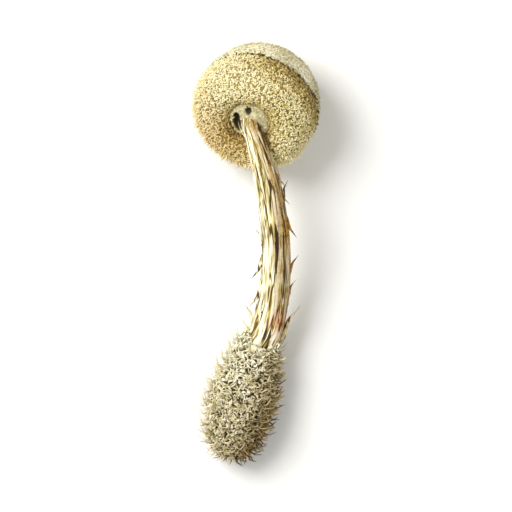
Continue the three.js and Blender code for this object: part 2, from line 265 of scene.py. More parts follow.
# copies of the tufts in one mesh, each with its own points, size, heading and roll
def copyTufts(name, tufts, sprouts, lay, node, material, rng):
    allPoints, allUpright, allFaces, allShares, allTones, allWarms, start = [], [], [], [], [], [], 0
    kinds = rng.integers(0, len(tufts), len(sprouts["root"]))
    for kind, tuft in enumerate(tufts):
        mine = kinds == kind
        if not mine.any():
            continue
        root, way, side = (sprouts[key][mine] for key in ("root", "way", "side"))
        other = np.cross(way, side)
        size, thick = sprouts["length"][mine], sprouts["thick"][mine]
        x, y, z = (tuft["points"][:, k][None, :, None] for k in range(3))
        s, t = size[:, None, None], (size * thick)[:, None, None]
        points = root[:, None] + x * s * side[:, None] + y * t * other[:, None] + z * s * way[:, None]
        count, each = points.shape[:2]
        allUpright.append(points.reshape(-1, 3))
        points = keepInBox(lay(points.reshape(-1, 3)).reshape(count, each, 3), lay(root)[:, None])
        faces = tuft["faces"][None] + (np.arange(count) * each)[:, None, None] + start
        allPoints.append(points.reshape(-1, 3))
        allFaces.append(faces.reshape(-1, 3))
        allShares.append(np.tile(tuft["shares"], count))
        allTones.append(np.repeat(sprouts["tone"][mine], each))
        allWarms.append(np.repeat(sprouts["warm"][mine], each))
        start += count * each
    points = restOnFloor(np.concatenate(allPoints)) * mm
    mesh = bpy.data.meshes.new(name)
    mesh.from_pydata(points, [], np.concatenate(allFaces))
    setShares(mesh, "tipShare", np.concatenate(allShares))
    setShares(mesh, "tone", np.concatenate(allTones))
    setShares(mesh, "warm", np.concatenate(allWarms))
    setUpright(mesh, np.concatenate(allUpright))
    piece = bpy.data.objects.new(name, mesh)
    bpy.context.collection.objects.link(piece)
    finishPiece(piece, node, material)


# the ways outward and around, at angles round Z
def ringWays(angles):
    ring = np.stack([np.cos(angles), np.sin(angles), 0 * angles], axis=1)
    around = np.stack([-np.sin(angles), np.cos(angles), 0 * angles], axis=1)
    return ring, around


# how far rows, roots and tones are scattered, as shares of the spacing and of the whole range of tones
scatter = {"rowGap": 0.87, "root": 0.35, "tone": 0.26, "inset": 0.01}  # the inset is in mm


# roots in rows over a surface turned round Z, with the outward way and the way on along its outline
def rootRows(outline, spacing, rng):
    outline = np.array(outline)
    reach = np.concatenate([[0], np.cumsum(np.linalg.norm(np.diff(outline, axis=0), axis=1))])
    stations, angles, aside = [], [], scatter["root"]
    for row, station in enumerate(np.arange(spacing / 2, reach[-1], spacing * scatter["rowGap"])):
        count = max(3, round(2 * math.pi * np.interp(station, reach, outline[:, 0]) / spacing))
        places = np.arange(count) + row % 2 / 2 + rng.uniform(-aside, aside, count)
        angles.append(places * 2 * math.pi / count)
        stations.append(station + rng.uniform(-aside, aside, count) * spacing)
    stations, angles = np.concatenate(stations), np.concatenate(angles)
    stations = np.clip(stations, scatter["inset"], reach[-1] - scatter["inset"])
    slope = unit(np.gradient(outline, reach, axis=0))
    radius, height = (np.interp(stations, reach, outline[:, k]) for k in (0, 1))
    outShare, upShare = (np.interp(stations, reach, slope[:, k]) for k in (0, 1))
    ring, around = ringWays(angles)
    onward = unit(ring * outShare[:, None] + upward * upShare[:, None])
    outward = np.cross(onward, around) if outline[0, 1] > outline[-1, 1] else np.cross(around, onward)
    root = ring * radius[:, None] + upward * height[:, None]
    return {"root": root, "outward": outward, "onward": onward, "around": around,
            "station": stations, "share": stations / reach[-1], "angle": angles}


# tone is 0 where the piece is darkest and 1 where it is palest, warm is 1 where it is brownest; on the wool,
# the foot and the stem they also carry painted light and shade
def shadeRoots(roots, tone, warm):
    for name, value in {"tone": tone, "warm": warm}.items():
        roots[name] = np.clip(value + 0 * roots["station"], 0, 1)
    return roots


# turns roots into sprouts: heading is measured from the onward way, lift from the surface
def sproutFrom(roots, look, rng, keep=None):
    if keep is not None:
        roots = {key: value[keep] for key, value in roots.items()}
    count = len(roots["root"])

    def draw(pair):
        return rng.uniform(*pair, count)

    heading, lift, roll = (np.radians(draw(look[key]))[:, None] for key in ("heading", "lift", "roll"))
    lying = roots["onward"] * np.cos(heading) + roots["around"] * np.sin(heading)
    beside = np.cross(roots["outward"], lying)
    way = lying * np.cos(lift) + roots["outward"] * np.sin(lift)
    top = np.cross(way, beside)
    side = top * np.cos(roll) + beside * np.sin(roll)
    return {"root": roots["root"] - roots["outward"] * look["sunk"], "way": way, "side": side,
            "length": draw(look["length"]), "thick": draw(look["thick"]),
            "tone": np.clip(roots["tone"] + draw((-scatter["tone"], scatter["tone"])), 0, 1),
            "warm": roots["warm"]}


def growTufts(name, tufts, roots, look, rng, lay, node, material, keep=None):
    copyTufts(name, tufts, sproutFrom(roots, look, rng, keep), lay, node, material, rng)


def newMaterial(name):
    material = bpy.data.materials.new(name)
    material.use_nodes = True
    return material, material.node_tree, material.node_tree.nodes["Principled BSDF"]


# felted cap skin: dry pressed hairs, which give a matt, faintly green cream with fine flecks
def makeCrownFelt():
    material, tree, shader = newMaterial("felted cap skin")
    place = addNode(tree, "TexCoord").outputs["Object"]
    # a fleck is about 0.85 mm wide, and a paler or duller patch about 14 mm
    fleck = addNode(tree, "TexNoise", {"Scale": 1 / (0.85 * mm), "Detail": 3, "Roughness": 0.6},
                    {"Vector": place})
    patch = addNode(tree, "TexNoise", {"Scale": 1 / (14 * mm), "Detail": 2}, {"Vector": place})
    flecked = addNode(tree, "ValToRGB", {"stops": [(0.34, "#8A8254"), (0.44, "#D8CFA4"), (0.56, "#FFFAE0")]},
                      {"Fac": fleck.outputs["Fac"]})
    patched = addNode(tree, "ValToRGB", {"stops": [(0.35, "#E0DAB8"), (0.65, "#FFFFFF")]},
                      {"Fac": patch.outputs["Fac"]})
    colour = addNode(tree, "Mix", {"data_type": "RGBA", "blend_type": "MULTIPLY", 0: 0.7},
                     {6: flecked.outputs["Color"], 7: patched.outputs["Color"]})
    tree.links.new(colour.outputs[2], shader.inputs["Base Color"])
    relief = addNode(tree, "Bump", {"Strength": 0.6, "Distance": 0.25 * mm}, {"Height": fleck.outputs["Fac"]})
    tree.links.new(relief.outputs["Normal"], shader.inputs["Normal"])
    shader.inputs["Roughness"].default_value = 0.9
    shader.inputs["IOR"].default_value = 1.4
    shader.inputs["Sheen Weight"].default_value = 0.25
    shader.inputs["Sheen Roughness"].default_value = 0.5
    return material


# curly scales: dry matt hair, cream at its tip and painted dark olive at its root, painted shade that draws
# the gaps between tufts as dark lines
def makeWool(name, rootShadeStops, tipStops, warmColour, patchSize):
    material, tree, shader = newMaterial(name)
    place = addNode(tree, "TexCoord").outputs["Object"]
    patch = addNode(tree, "TexNoise", {"Scale": 1 / (patchSize * mm), "Detail": 2, "Roughness": 0.55},
                    {"Vector": place})
    share = addNode(tree, "Attribute", {"attribute_name": "tipShare"}).outputs["Fac"]
    tone = addNode(tree, "Attribute", {"attribute_name": "tone"}).outputs["Fac"]
    warm = addNode(tree, "Attribute", {"attribute_name": "warm"}).outputs["Fac"]
    drift = addNode(tree, "MapRange", {"From Min": 0.25, "From Max": 0.75, "To Min": -0.15, "To Max": 0.15},
                    {"Value": patch.outputs["Fac"]})
    mixed = addNode(tree, "Math", {"operation": "ADD"}, {0: drift.outputs["Result"], 1: tone})
    # painted shade: the dark root colours stand for the shade between the tufts
    roots = addNode(tree, "ValToRGB", {"stops": rootShadeStops}, {"Fac": mixed.outputs[0]})
    tips = addNode(tree, "ValToRGB", {"stops": tipStops}, {"Fac": mixed.outputs[0]})
    blend = addNode(tree, "MapRange", {"From Min": 0.1, "From Max": 0.6}, {"Value": share})
    colour = addNode(tree, "Mix", {"data_type": "RGBA"},
                     {0: blend.outputs["Result"], 6: roots.outputs["Color"], 7: tips.outputs["Color"]})
    warmed = addNode(tree, "Mix", {"data_type": "RGBA", "blend_type": "MULTIPLY", 7: toLinear(warmColour)},
                     {0: warm, 6: colour.outputs[2]})
    tree.links.new(warmed.outputs[2], shader.inputs["Base Color"])
    shader.inputs["Roughness"].default_value = 0.85
    shader.inputs["IOR"].default_value = 1.4
    shader.inputs["Sheen Weight"].default_value = 0.1
    shader.inputs["Sheen Roughness"].default_value = 0.5
    return material


rustSpot = tuple((Vector((8.4, -23.6, 18.5)) + centred) * mm)  # the bruise, on the right by the foot


# fibrous stem flesh: silky pale fibres with long brown tears between them, one rusty bruise, and a brown
# right side that is partly painted shade
def makeStemFlesh():
    material, tree, shader = newMaterial("fibrous stem flesh")
    upright = addNode(tree, "Attribute", {"attribute_name": "upright"}).outputs["Vector"]
    place = addNode(tree, "TexCoord").outputs["Object"]
    # X and Y run across the stem and Z along it, in mm: a fibre is about 0.7 mm wide and 11 mm long
    fibreWay = addNode(tree, "Mapping", {"Scale": (1.5, 1.5, 0.09)}, {"Vector": upright})
    fibre = addNode(tree, "TexNoise", {"Scale": 1, "Detail": 3, "Distortion": 0.3},
                    {"Vector": fibreWay.outputs["Vector"]})
    # a tear is about 1 mm wide and 12 mm long
    tearWay = addNode(tree, "Mapping", {"Scale": (0.95, 0.95, 0.08), "Location": (5.3, 1.7, 2.0)},
                      {"Vector": upright})
    tear = addNode(tree, "TexNoise", {"Scale": 1, "Detail": 1.5, "Distortion": 0.7},
                   {"Vector": tearWay.outputs["Vector"]})
    # the brown side, partly the stem's own brown and partly painted shade, is grained, about 0.9 mm wide
    grain = addNode(tree, "TexNoise", {"Scale": 1 / (0.9 * mm), "Detail": 2}, {"Vector": place})
    pale = addNode(tree, "ValToRGB", {"stops": [(0.38, "#B8A65C"), (0.46, "#EEE4AE"), (0.56, "#FFFBE8")]},
                   {"Fac": fibre.outputs["Fac"]})
    torn = addNode(tree, "ValToRGB", {"stops": [(0.37, "#4C401F"), (0.425, "#AA9048"), (0.48, "#FFFFFF")]},
                   {"Fac": tear.outputs["Fac"]})
    grained = addNode(tree, "ValToRGB", {"stops": [(0.38, "#A89354"), (0.53, "#FFFFFF")]},
                      {"Fac": grain.outputs["Fac"]})
    streaked = addNode(tree, "Mix", {"data_type": "RGBA", "blend_type": "MULTIPLY", 0: 1.0},
                       {6: pale.outputs["Color"], 7: torn.outputs["Color"]})
    near = addNode(tree, "VectorMath", {"operation": "DISTANCE", 1: rustSpot}, {0: place})
    # the bruise fades out 6.5 mm from its middle
    rust = addNode(tree, "MapRange", {"From Min": 1 * mm, "From Max": 6.5 * mm, "To Min": 0.8, "To Max": 0.0},
                   {"Value": near.outputs["Value"]})
    bruised = addNode(tree, "Mix", {"data_type": "RGBA", "blend_type": "MULTIPLY", 7: toLinear("#E0954A")},
                      {0: rust.outputs["Result"], 6: streaked.outputs[2]})
    # pale islands about 3 mm wide and 10 mm long break the brown
    warm = addNode(tree, "Attribute", {"attribute_name": "warm"}).outputs["Fac"]
    islandWay = addNode(tree, "Mapping", {"Scale": (0.33, 0.33, 0.1), "Location": (1.2, 6.1, 0.5)},
                        {"Vector": upright})
    island = addNode(tree, "TexNoise", {"Scale": 1, "Detail": 2}, {"Vector": islandWay.outputs["Vector"]})
    isle = addNode(tree, "MapRange", {"From Min": 0.36, "From Max": 0.6, "To Min": 0.5, "To Max": 1.25},
                   {"Value": island.outputs["Fac"]})
    broken = addNode(tree, "Math", {"operation": "MULTIPLY", "use_clamp": True},
                     {0: warm, 1: isle.outputs["Result"]})
    brown = addNode(tree, "Mix",
                    {"data_type": "RGBA", "blend_type": "MULTIPLY", 0: 1.0, 6: toLinear("#BC963E")},
                    {7: grained.outputs["Color"]})
    warmed = addNode(tree, "Mix", {"data_type": "RGBA", "blend_type": "MULTIPLY"},
                     {0: broken.outputs[0], 6: bruised.outputs[2], 7: brown.outputs[2]})
    # painted shade: a scale turns darker brown toward its lifted tip
    tip = addNode(tree, "Attribute", {"attribute_name": "tipShare"}).outputs["Fac"]
    tipShade = addNode(tree, "MapRange", {"From Min": 0.55, "From Max": 1.0, "To Max": 0.65}, {"Value": tip})
    tipShaded = addNode(tree, "Mix", {"data_type": "RGBA", "blend_type": "MULTIPLY", 7: toLinear("#8C7442")},
                    {0: tipShade.outputs["Result"], 6: warmed.outputs[2]})
    tree.links.new(tipShaded.outputs[2], shader.inputs["Base Color"])
    relief = addNode(tree, "Bump", {"Strength": 0.8, "Distance": 0.3 * mm}, {"Height": fibre.outputs["Fac"]})
    tree.links.new(relief.outputs["Normal"], shader.inputs["Normal"])
    shader.inputs["Roughness"].default_value = 0.6
    shader.inputs["IOR"].default_value = 1.4
    shader.inputs["Subsurface Weight"].default_value = 0.1
    shader.inputs["Subsurface Scale"].default_value = 1.5 * mm
    return material


# smooth collar flesh: a pale waxy skin with a soft gloss, and painted shade in its pits, dark grey brown
def makeCollarFlesh():
    material, tree, shader = newMaterial("smooth collar flesh")
    place = addNode(tree, "TexCoord").outputs["Object"]
    grain = addNode(tree, "TexNoise", {"Scale": 1 / (1.2 * mm), "Detail": 3}, {"Vector": place})
    pale = addNode(tree, "ValToRGB", {"stops": [(0.3, "#938A60"), (0.5, "#BCB28A"), (0.7, "#DAD1AC")]},
                   {"Fac": grain.outputs["Fac"]})
    pit = addNode(tree, "Attribute", {"attribute_name": "pit"}).outputs["Fac"]
    colour = addNode(tree, "Mix", {"data_type": "RGBA", 7: toLinear("#464029")},
                     {0: pit, 6: pale.outputs["Color"]})
    tree.links.new(colour.outputs[2], shader.inputs["Base Color"])
    relief = addNode(tree, "Bump", {"Strength": 0.4, "Distance": 0.2 * mm}, {"Height": grain.outputs["Fac"]})
    tree.links.new(relief.outputs["Normal"], shader.inputs["Normal"])
    shader.inputs["Roughness"].default_value = 0.55
    shader.inputs["IOR"].default_value = 1.4
    return material


crownFelt = makeCrownFelt()
# ochre wool, close and curly, which warms to a pinkish brown, with dark roots painted as shade between the
# curls
capWool = makeWool("curly cap wool", [(0.2, "#66542A"), (0.8, "#B7A25C")],
                   [(0.15, "#B69E58"), (0.45, "#EEDC90"), (0.8, "#FFF8CE")], "#E6CAA0", 9)
# painted shadow: flat scales in dark brown along the line where the crown's rim overhangs the wool
rimShadeScale = makeWool("rim scales painted dark as shade", [(0.2, "#3C3216"), (0.8, "#5A4A22")],
                    [(0.2, "#4A3D1C"), (0.8, "#7A6838")], "#E8C09A", 9)
# olive grey felt, coarser and more open than the cap's, with darker roots, painted shade in its gaps
footWool = makeWool("shaggy foot felt", [(0.2, "#3C3519"), (0.8, "#6E653C")],
                    [(0.15, "#8E8250"), (0.45, "#D8CE9C"), (0.8, "#FFFAE2")], "#CCA878", 7)
stemFlesh = makeStemFlesh()
collarFlesh = makeCollarFlesh()
print("materials made")


crown = {"radius": 22.3, "height": 24, "rimAt": 3.5, "sides": 144, "rings": 40, "seed": 31, "tone": 0.7,
         "rimInset": 0.03, "poleInset": 0.02,  # where the outline starts and ends, in radians
         "relief": 0.26, "bedDepth": 1.2, "patch": 10.5, "fineShare": 0.4, "finer": 4.3,
         "drop": 1.4, "skew": 1.8, "skewAt": -104,
         "flare": 0.012, "flareFrom": 12, "flareOver": 8, "flareCurve": 1.5,
         "feltRows": 120,
         "felt": {"spacing": 0.66, "heading": (120, 240), "lift": (8, 30), "roll": (-60, 60),
                  "length": (0.9, 1.7), "thick": (0.9, 1.3), "sunk": 0.1}}


def crownOutline(count):
    firstLean = math.asin(crown["rimAt"] / crown["height"]) + crown["rimInset"]
    lean = np.linspace(firstLean, math.pi / 2 - crown["poleInset"], count)
    low = crown["bedDepth"] * crown["relief"]  # the swells rise from here
    return np.stack([(crown["radius"] - low) * np.cos(lean), (crown["height"] - low) * np.sin(lean)], axis=1)


# the rim lies askew: it comes down over the wool at the top of the picture
def rimDrop(angles):
    return crown["drop"] + crown["skew"] * np.cos(angles - math.radians(crown["skewAt"]))


# takes the crown's points to the head's place: near its rim the dome drops and widens a little
def layCrown(points):
    points = points.copy()
    nearRim = np.clip((crown["flareFrom"] - points[:, 2]) / crown["flareOver"], 0, 1) ** crown["flareCurve"]
    points[:, :2] *= 1 + crown["flare"] * nearRim[:, None]
    points[:, 2] -= rimDrop(np.arctan2(points[:, 1], points[:, 0])) * nearRim
    return layOnHead(points)


# slow swells over the dome, with finer ones on them
def swellCrown(points):
    spots = [Vector(p) / crown["patch"] for p in points]
    lifts = [noise.noise(spot) + crown["fineShare"] * noise.noise(spot * crown["finer"]) for spot in spots]
    return points + unit(points) * (np.array(lifts) * crown["relief"])[:, None]


crownBody = turnedBody("crown_skin", crownOutline(crown["rings"]), crown["sides"])
setPoints(crownBody, layCrown(swellCrown(pointsOf(crownBody))))
finishPiece(crownBody, "cap_crown", crownFelt)

rng = np.random.default_rng(crown["seed"])
feltTufts = [modelTuft("felt hair", look) for look in (
    {"sides": 3, "radii": [0.10, 0.09, 0.06], "turns": [10, 20], "swing": 0.3},
    {"sides": 3, "radii": [0.11, 0.09, 0.05], "turns": [-8, 30], "swing": -0.4},
)]
feltRoots = rootRows(crownOutline(crown["feltRows"]), crown["felt"]["spacing"], rng)
shadeRoots(feltRoots, crown["tone"], 0)
growTufts("crown_felt", feltTufts, feltRoots, crown["felt"], rng, layCrown, "cap_crown", crownFelt)
print("crown finished")


# stations along the wool are in mm from the rim
wool = {"outline": [(21.0, 3.2), (21.5, 1.6), (21.6, -1.0), (21.4, -4.0), (20.5, -7.2), (18.5, -9.9),
                    (15.9, -11.7), (13.2, -12.2), (10.6, -11.6), (8.9, -10.3), (7.9, -8.4), (7.6, -6.4),
                    (7.6, -4.0)],
        # the bed under the curls is dark, painted shade deep between them
        "sides": 144, "rings": 64, "seed": 47, "bed": {"tipShare": 0.15, "tone": 0.3, "warm": 0.2},
        "curlsTo": 27.5, "outerShare": 0.42, "underRim": 3.4,
        "curls": {"spacing": 0.64, "heading": (-180, 180), "lift": (8, 42), "roll": (35, 100),
                  "length": (1.3, 2.2), "thick": (0.9, 1.3), "sunk": 0.15},
        "rimLine": [(21.75, 4.2), (21.4, 3.2)], "rimShadeTone": 0.3,
        "rim": {"spacing": 1.2, "heading": (60, 120), "lift": (-4, 14), "roll": (-60, 60),
                "length": (1.1, 2.0), "thick": (1.4, 2.2), "sunk": 0.0},
        "fringeFrom": 3.5, "fringeTo": 16, "fringeWay": (-0.6, 0.8), "fringeEdge": -0.35, "fringePaler": 0.2,
        "fringe": {"spacing": 1.3, "heading": (-60, 60), "lift": (25, 62), "roll": (-60, 60),
                   "length": (2.0, 3.4), "thick": (0.8, 1.1), "sunk": 0.2},
        # painted shade by the rim and in the crease and painted light at left, with the wool's own pinkish
        # brown at lower left
        "shade": {"tone": 0.7, "rimPaintedShade": 0.95, "creasePaintedShade": 0.5, "lowerDark": 0.12, "leftPaintedLight": 0.34,
                  "warm": 0.05, "lowerWarm": 0.6, "rimShadeWarm": 0.3,
                  "rimReach": 13, "creaseFrom": 19, "creaseOver": 6, "warmOver": 8,
                  "upperRight": (0.46, -0.89), "lowerLeft": (-0.5, 0.87), "left": (-1, 0)}}

woolReach, woolOutline = smoothLine(wool["outline"], wool["rings"])
woolBody = turnedBody("wool_bed", woolOutline, wool["sides"])
points = pointsOf(woolBody)
setPoints(woolBody, layOnHead(points))
for name, value in wool["bed"].items():
    setShares(woolBody.data, name, np.full(len(points), value))
finishPiece(woolBody, "cap_wool", capWool)

rng = np.random.default_rng(wool["seed"])
curlTufts = [modelTuft("wool curl", look) for look in (
    {"sides": 4, "radii": [0.12, 0.135, 0.13, 0.11, 0.075], "turns": [20, 40, 52, 56], "swing": 0.2},
    {"sides": 4, "radii": [0.12, 0.13, 0.13, 0.115, 0.08], "turns": [-30, 45, 60, 70], "swing": -0.3},
    {"sides": 4, "radii": [0.13, 0.13, 0.12, 0.10, 0.07], "turns": [25, -50, 62, 30], "swing": 0.3},
)]
fringeTufts = [modelTuft("wool fringe", look) for look in (
    {"sides": 4, "radii": [0.10, 0.095, 0.075, 0.045], "turns": [10, 16, 22], "swing": 0.25},
    {"sides": 4, "radii": [0.095, 0.09, 0.08, 0.05], "turns": [-10, 24, 30], "swing": -0.3},
)]
curlRoots = rootRows(woolOutline[woolReach < wool["curlsTo"]], wool["curls"]["spacing"], rng)


# 1 where the roots face this way across the head, and -1 where they face away from it
def facing(roots, way):
    return np.cos(roots["angle"]) * way[0] + np.sin(roots["angle"]) * way[1]


# seen from the stem's side: painted shade, olive by the rim at upper right and darker in the crease;
# painted light, pale at left; and darker, pinkish brown at lower left
def shadeWool(roots):
    shade, station = wool["shade"], roots["station"]
    upperRight = np.clip(facing(roots, shade["upperRight"]), 0, 1) ** 2
    lowerLeft = np.clip(facing(roots, shade["lowerLeft"]), 0, 1) ** 1.5
    left = np.clip(facing(roots, shade["left"]), 0, 1)
    nearRim = np.clip(1 - station / shade["rimReach"], 0, 1)
    nearCrease = np.clip((station - shade["creaseFrom"]) / shade["creaseOver"], 0, 1)
    offRim = np.clip(station / shade["warmOver"], 0, 1)
    tone = (shade["tone"] - shade["rimPaintedShade"] * nearRim * upperRight - shade["creasePaintedShade"] * nearCrease
            - shade["lowerDark"] * lowerLeft + shade["leftPaintedLight"] * left)
    warm = shade["warm"] + shade["lowerWarm"] * lowerLeft * offRim + shade["rimShadeWarm"] * nearRim * upperRight
    return shadeRoots(roots, tone, warm)


shadeWool(curlRoots)
outer = curlRoots["share"] < wool["outerShare"]
# no curl grows under the crown's rim
clear = curlRoots["root"][:, 2] < wool["underRim"] - rimDrop(curlRoots["angle"])
growTufts("wool_outer", curlTufts, curlRoots, wool["curls"], rng, layOnHead, "cap_wool", capWool,
          outer & clear)
growTufts("wool_inner", curlTufts, curlRoots, wool["curls"], rng, layOnHead, "cap_wool", capWool, ~outer)
fringeRoots = shadeWool(rootRows(woolOutline[woolReach < wool["fringeTo"]], wool["fringe"]["spacing"], rng))
fringeRoots["tone"] = fringeRoots["tone"] + wool["fringePaler"]
fringeAt = facing(fringeRoots, wool["fringeWay"]) > wool["fringeEdge"]
fringeAt = fringeAt & (fringeRoots["station"] > wool["fringeFrom"])
# painted shadow: a row of dark scales along the crown's rim
rimRoots = shadeRoots(rootRows(wool["rimLine"], wool["rim"]["spacing"], rng), wool["rimShadeTone"], 0)
growTufts("rim_shade_scales", curlTufts, rimRoots, wool["rim"], rng, layCrown, "cap_wool", rimShadeScale)
growTufts("wool_fringe", fringeTufts, fringeRoots, wool["fringe"], rng, layOnHead, "cap_wool", capWool,
          fringeAt)
print("wool finished")


# stations along the stem are in mm from the collar
stem = {"radii": [(0, 3.4), (6, 2.9), (14, 3.6), (30, 4.7), (48, 5.05), (66, 5.2), (78, 5.6), (85, 6.1),
                  (90, 6.5)],
        "length": 90, "sides": 120, "rings": 200, "seed": 923,
        "ridge": 0.24, "ridges": [(1.0, 3, 0.11), (0.7, 5, -0.2)],  # share, how many, radians turned in a mm
        "fibre": 0.18, "fibreAround": 5.5, "fibreAlong": 0.11, "fibreSlice": 3.7,
        "brownAndShade": {"middle": 0.22, "right": 0.76, "turn": 0.2, "most": 0.95,
                   "waveShare": 0.1, "waves": [(0.3, 0), (0.11, 2)],  # radians in a mm, and at the collar
                   "footPaler": 0.42, "footFrom": 64, "footOver": 14},
        "sunk": 0.25, "sway": 0.22, "hug": -0.6,  # a lying scale curves in to the flesh, and is flatter
        "toHead": 0.25, "toHeadMore": 0.6,  # share that points to the head, and what the foot's end adds
        "scales": {"count": 42, "start": 15, "finish": 86,
                   "length": (6.5, 10.5), "lift": (3, 8), "thick": (0.7, 1.15)},
        "neck": {"count": 60, "start": 1.5, "finish": 9, "allToHead": True,
                 "length": (3.5, 6.5), "lift": (4, 24), "thick": (0.3, 0.6)},
        "fine": {"count": 70, "start": 6, "finish": 89,
                 "length": (4.5, 10.0), "lift": (1, 5), "thick": (0.25, 0.6)}}
# station, side in degrees, length, thickness, points to the head, degrees it stands off
sideScales = [
    (22, 8, 8, 1.0, False, 10), (29, 10, 7, 0.9, False, 11), (34, 6, 8, 1.0, True, 12),
    (39, 12, 9, 1.0, False, 10), (61, 5, 8.5, 0.9, True, 12), (69, 8, 8, 0.9, True, 11),
    (86, 12, 16, 1.0, True, 4), (50, 172, 9, 1.0, True, 9), (53, 168, 11, 1.0, False, 9),
    (62, 170, 13, 1.1, False, 9), (83, 165, 11, 1.5, True, 15), (88, 188, 8, 1.0, True, 24),
]


# the stem is cream on its left, olive brown to the right, partly its own colour and partly painted shade on
# the side away from the key light, and paler again by the foot
def stemBrownAndShade(angles, stations):
    brownAndShade = stem["brownAndShade"]
    toRight = np.cos(angles - brownAndShade["turn"])
    along = sum(np.sin(stations * inMm + start) for inMm, start in brownAndShade["waves"])
    nearFoot = np.clip((stations - brownAndShade["footFrom"]) / brownAndShade["footOver"], 0, 1)
    warm = (brownAndShade["middle"] + brownAndShade["right"] * toRight + brownAndShade["waveShare"] * along
            - brownAndShade["footPaler"] * nearFoot)
    return np.clip(warm, 0, brownAndShade["most"])


def stemRadius(station):
    stations, radii = zip(*stem["radii"])
    return np.interp(station, stations, radii)


stations = np.linspace(0, stem["length"], stem["rings"])
stemBody = turnedBody("stem_flesh", list(zip(stemRadius(stations), stations)), stem["sides"])
points = pointsOf(stemBody)
angle, station = np.arctan2(points[:, 1], points[:, 0]), points[:, 2]
wave = sum(share * np.cos(count * angle + inMm * station) for share, count, inMm in stem["ridges"])
wave = wave / sum(share for share, count, inMm in stem["ridges"])
fibres = np.array([noise.noise(Vector((a * stem["fibreAround"], s * stem["fibreAlong"], stem["fibreSlice"])))
                   for a, s in zip(angle, station)])
away = np.maximum(np.hypot(points[:, 0], points[:, 1]), 1)
points[:, :2] *= (1 + (stem["ridge"] * wave + stem["fibre"] * fibres) / away)[:, None]
setPoints(stemBody, layOnLine(points))
setShares(stemBody.data, "tipShare", 0 * angle)
setUpright(stemBody.data, points)
setShares(stemBody.data, "warm", stemBrownAndShade(angle, station))
finishPiece(stemBody, "stem", stemFlesh)

rng = np.random.default_rng(stem["seed"])
lances = [modelTuft("stem scale", {"sides": 6, "section": (0.4, 1, 1), **look}) for look in (
    {"radii": [0.07, 0.12, 0.12, 0.08, 0.045], "turns": [2, 3, 4, 6], "swing": 0.05},
    {"radii": [0.08, 0.13, 0.11, 0.07, 0.04], "turns": [2, 4, 6, 10], "swing": -0.06},
)]
standingLances = [modelTuft("standing scale", {"sides": 6, "section": (1, 0.6, 1), **look}) for look in (
    {"radii": [0.05, 0.08, 0.075, 0.05, 0.025], "turns": [-4, 4, 8, 16], "swing": 0.05},
    {"radii": [0.06, 0.09, 0.07, 0.04, 0.02], "turns": [-6, 2, 10, 20], "swing": -0.05},
)]


def stemSprouts(stations, angles, toHead, length, lift, thick, standing=False):
    ring, around = ringWays(angles)
    root = ring * (stemRadius(stations) - stem["sunk"])[:, None] + upward * stations[:, None]
    sway = rng.uniform(-stem["sway"], stem["sway"], len(stations))[:, None]
    lying = unit(np.where(toHead, -1, 1)[:, None] * upward + around * sway)
    lift = np.radians(lift)[:, None]
    way = lying * np.cos(lift) + ring * np.sin(lift)
    side = unit(ring * np.cos(lift) - lying * np.sin(lift)) * (1 if standing else stem["hug"])
    return {"root": root, "way": way, "side": side, "length": length, "thick": thick,
            "tone": 0 * angles, "warm": stemBrownAndShade(angles, stations)}


# scales spread evenly round the stem, each a golden turn on from the one before
def spiral(look):
    count = look["count"]
    share = (np.arange(count) + 0.5) / count
    stations = look["start"] + (look["finish"] - look["start"]) * share
    toHead = rng.uniform(0, 1, count) < stem["toHead"] + stem["toHeadMore"] * share
    length, lift, thick = (rng.uniform(*look[key], count) for key in ("length", "lift", "thick"))
    return stemSprouts(stations, np.arange(count) * goldenTurn, toHead | look.get("allToHead", False),
                       length, lift, thick)


copyTufts("stem_scales", lances, spiral(stem["scales"]), layOnLine, "stem", stemFlesh, rng)
copyTufts("stem_neck", lances, spiral(stem["neck"]), layOnLine, "stem", stemFlesh, rng)
copyTufts("stem_fibres", lances, spiral(stem["fine"]), layOnLine, "stem", stemFlesh, rng)
at, side, length, thick, toHead, stand = (np.array(column, dtype=float) for column in zip(*sideScales))
standing = stemSprouts(at, np.radians(side), toHead > 0, length, stand, thick, standing=True)
copyTufts("stem_side_scales", standingLances, standing, layOnLine, "stem", stemFlesh, rng)
print("stem finished")


collar = {"outline": [(7.2, -4.3), (7.25, -6.4), (7.25, -8.4), (6.7, -9.5), (5.2, -9.9), (3.9, -10.3),
                      (3.1, -11.4)],
          "sides": 220, "rings": 100,
          "slant": 0.5, "pitsBelow": -8.5, "pitCurve": 0.6, "pitEdge": 6,
          "pits": [{"across": -3.5, "up": -2.6, "wide": 1.9, "long": 4.2, "deep": 3.6},
                   {"across": -2.0, "up": 4.4, "wide": 1.25, "long": 1.6, "deep": 2.6}],
          "fuzzLine": [(7.3, -7.6), (7.1, -8.9), (6.3, -9.7), (6.0, -9.8)], "fuzzTone": 0.55,
          "fuzz": {"spacing": 0.75, "heading": (-180, 180), "lift": (5, 30), "roll": (35, 100),
                   "length": (1.0, 1.8), "thick": (0.8, 1.2), "sunk": 0.1}}

collarBody = turnedBody("stem_collar", smoothLine(collar["outline"], collar["rings"])[1], collar["sides"])
points = pointsOf(collarBody)
slantSin, slantCos = math.sin(collar["slant"]), math.cos(collar["slant"])
pitShadeMask = np.zeros(len(points))
for pit in collar["pits"]:
    dx, dy = points[:, 0] - pit["across"], -points[:, 1] - pit["up"]
    long = (dy * slantCos - dx * slantSin) / pit["long"]
    wide = (dx * slantCos + dy * slantSin) / pit["wide"]
    near = np.clip(1 - (long ** 2 + wide ** 2), 0, 1)
    near = np.where(points[:, 2] < collar["pitsBelow"], near, 0)
    points[:, 2] += pit["deep"] * near ** collar["pitCurve"]
    pitShadeMask = np.maximum(pitShadeMask, np.clip(near * collar["pitEdge"], 0, 1))
setPoints(collarBody, layOnHead(points))
